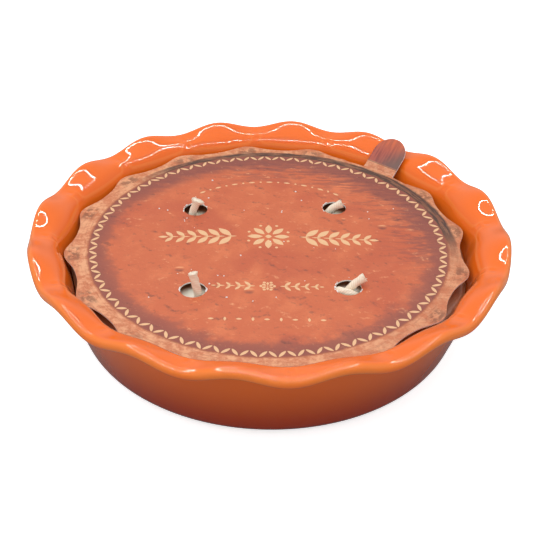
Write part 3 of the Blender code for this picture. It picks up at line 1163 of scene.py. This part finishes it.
def dust_places(draws, count):
    """Specks, most of them near the holes."""
    marks = []
    centres = hole_centres()
    while len(marks) < count:
        centre = draws.choice(centres + [(0.0, 0.0)])
        away = Vector((draws.gauss(0.0, DUST_SPREAD), draws.gauss(0.0, DUST_SPREAD)))
        place = Vector(centre) + away * MM
        clear = min((place - Vector(c)).length for c in centres) > HOLE_RADIUS + MM
        if clear and place.length < DUST_RADIUS:
            size = draws.uniform(*DUST_SIZES) * MM
            marks.append((place, draws.uniform(0.0, pi), size * 1.3, size))
    return marks


class CANDLE_OT_flecks(bpy.types.Operator):
    """Scatter dust and torn fibres on the card"""

    bl_idname = "candle.flecks"
    bl_label = "Flecks"

    def execute(self, context):
        sizes = context.scene.candle_print
        draws = random.Random(sizes.fleck_seed)
        marks = torn_places(draws) + dust_places(draws, sizes.flecks)
        item = marked_points("card_flecks", marks)
        colours = context.scene.candle_colours
        look = paper_material("white_fibre", colours.paper, colours.paper_shade)
        maker = Maker("Card Flecks", Finish=look)
        turn, long, wide = maker.stored("turn", "long", "wide")
        ball = maker.out("GeometryNodeMeshIcoSphere", None, {"Radius": 1.0, "Subdivisions": 2})
        position = maker.out("GeometryNodeInputPosition")
        tint = maker.out("ShaderNodeTexNoise", None, {"Vector": position, "Scale": 2.0}, 1)
        lumps = maker.vector("SUBTRACT", tint, (0.5, 0.5, 0.5))
        rough = maker.out("GeometryNodeSetPosition", None, {0: ball, "Offset": lumps})
        strewn = maker.build(maker.strew(rough, maker.given["Geometry"], turn, long, wide, wide), item)
        lay_mesh(strewn)
        dress(strewn)
        return {"FINISHED"}


# Stage

def add_lamp(name, wide, deep, power, place):
    lamp = bpy.data.lights.new(name, "AREA")
    lamp.shape = "RECTANGLE"
    lamp.size = wide
    lamp.size_y = deep
    lamp.energy = power
    item = new_object(name, lamp)
    item.location = place
    return item


class CANDLE_OT_stage(bpy.types.Operator):
    """Lay the floor and set the lights and the camera"""

    bl_idname = "candle.stage"
    bl_label = "Stage"

    def execute(self, context):
        scene = context.scene
        stage = scene.candle_stage
        scene.view_settings.view_transform = "Standard"
        world = bpy.data.worlds.new("studio")
        scene.world = world
        world.use_nodes = True
        sky = Graph(world.node_tree)
        _, _, up = sky.split(sky.out("ShaderNodeTexCoord", output="Generated"))
        strength = stage.sky_low + up.ease(-0.05, 0.34) * (stage.sky_high - stage.sky_low)
        light = sky.out("ShaderNodeBackground", inputs={"Strength": strength, "Color": WHITE})
        sky.node("ShaderNodeOutputWorld", inputs={"Surface": light})

        # The floor that the camera sees is pale; a darker one sends light back to the dish
        half = stage.floor_side / 2.0
        corners = [(-half, -half), (half, -half), (half, half), (-half, half)]
        for name, low, tone, glow in (("floor", FLOOR_DROP, stage.floor_tone, stage.floor_glow),
                                      ("floor_bounce", 2.0 * FLOOR_DROP, stage.bounce_tone, 0.0)):
            floor = mesh_object(name, [(x, y, -low) for x, y in corners], (), [(0, 1, 2, 3)])
            look = Surface(name)
            cloud = look.noise(look.object_place(), "floor")
            shade = look.mix([tone] * 3, [tone * 0.97] * 3, cloud)
            floor.data.materials.append(look.finish(base_color=shade, roughness=0.9, emission_color=WHITE,
                                                    emission_strength=glow))
            seen = name == "floor"
            floor.visible_camera = seen
            floor.visible_diffuse = not seen
            floor.visible_glossy = not seen
            floor.visible_shadow = False

        # A loop of thin strips draws outlines on the glaze; a broad lamp gives the soft light
        for i in range(4):
            turn = pi / 2.0 * i
            reach = stage.loop_side / 2.0
            place = (reach * sin(turn), -reach * cos(turn), stage.loop_height)
            strip = add_lamp("strip", stage.loop_side, stage.strip_width, stage.strip_power, place)
            strip.rotation_euler = (0.0, 0.0, turn)
            strip.visible_diffuse = False
        place = (0.0, 0.0, stage.loop_height)
        pane = add_lamp("pane", stage.loop_side, stage.loop_side, stage.pane_power, place)
        pane.visible_diffuse = False
        soft = add_lamp("soft_box", stage.box_side, stage.box_side, stage.box_power, stage.box_place)
        soft.rotation_euler = Vector(stage.box_place).to_track_quat("Z", "Y").to_euler()
        soft.visible_glossy = False

        camera = bpy.data.cameras.new("camera")
        camera.lens = stage.lens
        camera.sensor_width = SENSOR_WIDTH
        viewer = new_object("camera", camera)
        tilt = Euler((radians(90.0 - stage.camera_pitch), 0.0, radians(stage.camera_turn))).to_matrix()
        tilt = tilt @ Matrix.Rotation(radians(stage.camera_roll), 3, "Z")
        viewer.matrix_world = Matrix.Translation(stage.camera_place) @ tilt.to_4x4()
        scene.camera = viewer
        return {"FINISHED"}


# Settings

LENGTH = {"unit": "LENGTH", "precision": 5}
ANGLE = {"subtype": "ANGLE"}
PLACE = {"subtype": "XYZ"}
COLOUR = {"subtype": "COLOR", "min": 0.0, "max": 1.0}


def settings(usual, rows):
    """A group's properties: each row has a description, a value and, if not the usual, its kind."""
    fields = {}
    for key, (description, value, *kind) in rows.items():
        says = {"name": key.replace("_", " ").title(), "description": description, "default": value}
        if isinstance(value, int):
            fields[key] = IntProperty(**says)
            continue
        says.update(kind[0] if kind else usual)
        fields[key] = FloatVectorProperty(**says) if isinstance(value, tuple) else FloatProperty(**says)
    return fields


class CandleColours(bpy.types.PropertyGroup):
    """Colours of every piece"""

    __annotations__ = settings(COLOUR, {
        "glaze": ("Body colour of the glaze", (0.92, 0.165, 0.014)),
        "glaze_deep": ("Where the glaze is thick", (0.86, 0.135, 0.011)),
        # Painted shade that darkens the glaze towards the foot
        "glaze_foot": ("Where the glaze has run down", (0.36, 0.015, 0.002)),
        # Thinner glaze on the lip and panel ridges, partly a painted highlight
        "glaze_thin": ("Where the glaze thins on the lip", (0.97, 0.30, 0.06)),
        "field": ("Main colour of the printed field", srgb(202, 101, 61)),
        "field_light": ("Paler streaks of the field", srgb(214, 115, 71)),
        "field_dark": ("Darker patches and edge of the field", srgb(140, 74, 62)),
        "field_red": ("Redder patches of the field", srgb(188, 85, 53)),
        "field_glow": ("Small bright ridges in the field", srgb(238, 168, 118)),
        "field_pit": ("Small dark pits in the field", srgb(112, 62, 52)),
        "crust": ("Main colour of the crust band", srgb(202, 122, 82)),
        "crust_light": ("Floury parts of the crust band", srgb(226, 164, 122)),
        "crust_brown": ("Browned parts of the crust band", srgb(172, 92, 56)),
        "crust_burn": ("Burnt spots at the tips", srgb(112, 66, 44)),
        "crust_shadow": ("Shade between field and crust", srgb(78, 52, 42)),
        "tab": ("Main colour of the tab", srgb(176, 82, 62)),
        "tab_dark": ("Stripes along the tab", srgb(134, 58, 50)),
        "tab_light": ("Glow at the end of the tab", srgb(206, 98, 52)),
        "tab_grey": ("Greyed low right of the tab", srgb(112, 84, 76)),
        "ink": ("Pale printed marks", srgb(230, 183, 135)),
        "ink_shade": ("Mottle in the pale ink", srgb(218, 168, 120)),
        "paper": ("Cut edge of the card", srgb(238, 234, 230)),
        "paper_shade": ("Fibres in the cut edge", srgb(196, 190, 184)),
        "board": ("Back of the card", srgb(158, 122, 98)),
        "board_shade": ("Fibres in the back of the card", srgb(132, 98, 76)),
        "wax": ("Candle wax", srgb(248, 240, 222)),
        "wax_shade": ("Mottle in the wax", srgb(232, 220, 196)),
        # Painted shade on the wax under the card
        "wax_under": ("Wax that the card shades and stains", srgb(176, 108, 70)),
        "cotton": ("Wick cotton", srgb(252, 240, 220)),
        "cotton_shade": ("Between the wick's strands", srgb(232, 212, 184)),
    })


class CandleDish(bpy.types.PropertyGroup):
    """Sizes of the dish and the wax"""

    __annotations__ = settings(LENGTH, {
        "steps": ("Columns of points round the dish", 641),
        "wax_steps": ("Columns of points round the wax", 321),
        "waves": ("Waves in the rim", 16),
        "wave_rise": ("Height of a crest above the middle of the wave", 2.3 * MM),
        "flute_depth": ("How far the inside wall swings in and out", 1.2 * MM),
        "panel_frame": ("Plain width between a fold and the panels beside it", 2.6 * MM),
        "panel_start": ("Radius where the panels begin", 113.6 * MM),
        "panel_round": ("Rounding of a panel's corners", 5.0 * MM),
        "panel_depth": ("How far a panel sinks into the rim", 0.14 * MM),
        "fold_angle": ("Direction of the first fold", radians(4.8), ANGLE),
    })


class CandlePrint(bpy.types.PropertyGroup):
    """Sizes of the printed marks and the flecks"""

    __annotations__ = settings(LENGTH, {
        "flecks": ("Specks of dust on the card", 34),
        "fleck_seed": ("Seed of the flecks' places", 11),
        "dashes": ("Dashes in the zigzag ring", 133),
        "ring_radius": ("Middle of the zigzag ring", 95.8 * MM),
        "dash_length": ("Length of one dash", 5.5 * MM),
        "dash_width": ("Width of one dash", 1.75 * MM),
        "ink_height": ("Thickness of the printed marks", 0.1 * MM),
        "slant": ("Lean of a dash from the ring's line", radians(49.0), ANGLE),
        "dash_step": ("Angle from dash to dash", radians(2.71), ANGLE),
        "ring_start": ("Direction of the ring's seam", radians(134.0), ANGLE),
    })


class CandleWick(bpy.types.PropertyGroup):
    """Sizes of the wicks"""

    __annotations__ = settings(LENGTH, {
        "radius": ("Half the thickness of a wick", 2.2 * MM),
        "hairs": ("Loose hairs on each wick's head", 7),
        "twist": ("Turn of the strands along a wick", radians(400.0), ANGLE),
        "rings": ("Rings of points along a wick", 60),
        "sides": ("Points round a wick", 36),
    })


class CandleStage(bpy.types.PropertyGroup):
    """Lights, floor and camera"""

    __annotations__ = settings(LENGTH, {
        "sky_high": ("Strength of the light from above", 0.76, {}),
        "sky_low": ("Strength of the light from below", 0.24, {}),
        "box_side": ("Side of the broad lamp", 2.4),
        "box_power": ("Power of the broad lamp", 14.0, {}),
        "box_place": ("Where the broad lamp hangs", (-0.3, -0.25, 1.3), PLACE),
        "floor_side": ("Side of the square floor", 30.0),
        "floor_tone": ("Paleness of the floor", 0.8, {}),
        "floor_glow": ("Light of the floor's own", 0.7, {}),
        "bounce_tone": ("Share of light sent back up", 0.34, {}),
        "strip_power": ("Power of each light strip", 5.6, {}),
        "strip_width": ("Width of each light strip", 0.02),
        "pane_power": ("Power of the pane within the strips", 1.2, {}),
        "loop_side": ("Side of the square of light strips", 1.05),
        "loop_height": ("Height of the light strips", 0.9),
        "lens": ("Focal length in millimetres", 68.03, {}),
        "camera_pitch": ("How far the camera looks down", 33.453, {}),
        "camera_turn": ("Camera's turn from straight ahead", 0.0975, {}),
        "camera_roll": ("Camera's roll in degrees", 0.9165, {}),
        "camera_place": ("Where the camera stands", (-0.00054, -0.47146, 0.34354), PLACE),
    })


class CANDLE_PT_panel(bpy.types.Panel):
    """Buttons for each group of pieces"""

    bl_label = "Pie Dish Candle"
    bl_idname = "CANDLE_PT_panel"
    bl_space_type = "VIEW_3D"
    bl_region_type = "UI"
    bl_category = "Candle"

    def draw(self, context):
        for operator in OPERATORS:
            self.layout.operator(operator.bl_idname)


SETTINGS = {
    "candle_colours": CandleColours,
    "candle_dish": CandleDish,
    "candle_print": CandlePrint,
    "candle_wick": CandleWick,
    "candle_stage": CandleStage,
}
OPERATORS = (CANDLE_OT_stage, CANDLE_OT_dish, CANDLE_OT_wax, CANDLE_OT_card, CANDLE_OT_zigzag,
             CANDLE_OT_ornament, CANDLE_OT_wicks, CANDLE_OT_flecks)


def register():
    for item in (*SETTINGS.values(), *OPERATORS, CANDLE_PT_panel):
        bpy.utils.register_class(item)
    for name, group in SETTINGS.items():
        setattr(bpy.types.Scene, name, PointerProperty(type=group))


def unregister():
    for name in SETTINGS:
        delattr(bpy.types.Scene, name)
    for item in (CANDLE_PT_panel, *reversed(OPERATORS), *reversed(SETTINGS.values())):
        bpy.utils.unregister_class(item)


def main():
    register()
    for operator in OPERATORS:
        family, name = operator.bl_idname.split(".")
        getattr(getattr(bpy.ops, family), name)()


if __name__ == "__main__":
    main()
